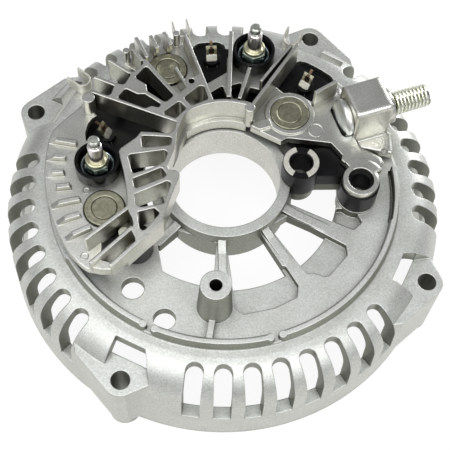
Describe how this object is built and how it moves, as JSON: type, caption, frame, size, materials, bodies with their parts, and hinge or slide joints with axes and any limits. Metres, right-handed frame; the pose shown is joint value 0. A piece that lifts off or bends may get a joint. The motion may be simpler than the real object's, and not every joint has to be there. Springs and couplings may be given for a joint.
{
  "type": "alternator rear end frame with rectifier heat sink",
  "caption": "Vented cast end frame with bearing hub, spokes and ears, carrying a finned rectifier heat sink, press-fit diodes, insulated studs, regulator posts and a side battery terminal bolt.",
  "frame": {"origin": "on the bearing bore's axis, in the plane of the rim's lower face, at the centre of the four ear bolts", "axes": "+Z along the bearing axis towards the rear, where the rectifier is; the battery bolt points to +X; the ears are at 45 degrees and every 90 degrees from there"},
  "size_m": [0.1424, 0.1424, 0.059],
  "materials": {
    "rear_frame": "die-cast, shot-blasted",
    "positive_heat_sink": "die-cast, as cast",
    "battery_bolt": "zinc plated steel",
    "positive_diodes": "nickel plated cup",
    "negative_diodes": "nickel plated cup",
    "terminal_block": "moulded, semi-matt",
    "phase_terminals": "tinned strip",
    "regulator_split_ring": "tinned strip",
    "regulator_sleeve": "moulded, semi-matt",
    "regulator_bush": "moulded, semi-matt",
    "lower_insulators": "moulded, semi-matt",
    "insulating_cups": "moulded, satin",
    "stud_washers": "zinc plated steel",
    "stud_bolts": "zinc plated steel, thin yellow passivation",
    "end_spacer": "moulded, semi-matt",
    "end_rivet": "plain rivet",
    "wire_clips": "tinned strip"
  },
  "bodies": {
    "root": {"rear_frame": "rear_frame", "positive_heat_sink": "positive_heat_sink", "battery_bolt": "battery_bolt", "positive_diodes": "positive_diodes", "negative_diodes": "negative_diodes", "terminal_block": "terminal_block", "phase_terminals": "phase_terminals", "regulator_split_ring": "regulator_split_ring", "regulator_sleeve": "regulator_sleeve", "regulator_bush": "regulator_bush", "lower_insulators": "lower_insulators", "insulating_cups": "insulating_cups", "stud_washers": "stud_washers", "stud_bolts": "stud_bolts", "end_spacer": "end_spacer", "end_rivet": "end_rivet", "wire_clips": "wire_clips"}
  },
  "joints": []
}
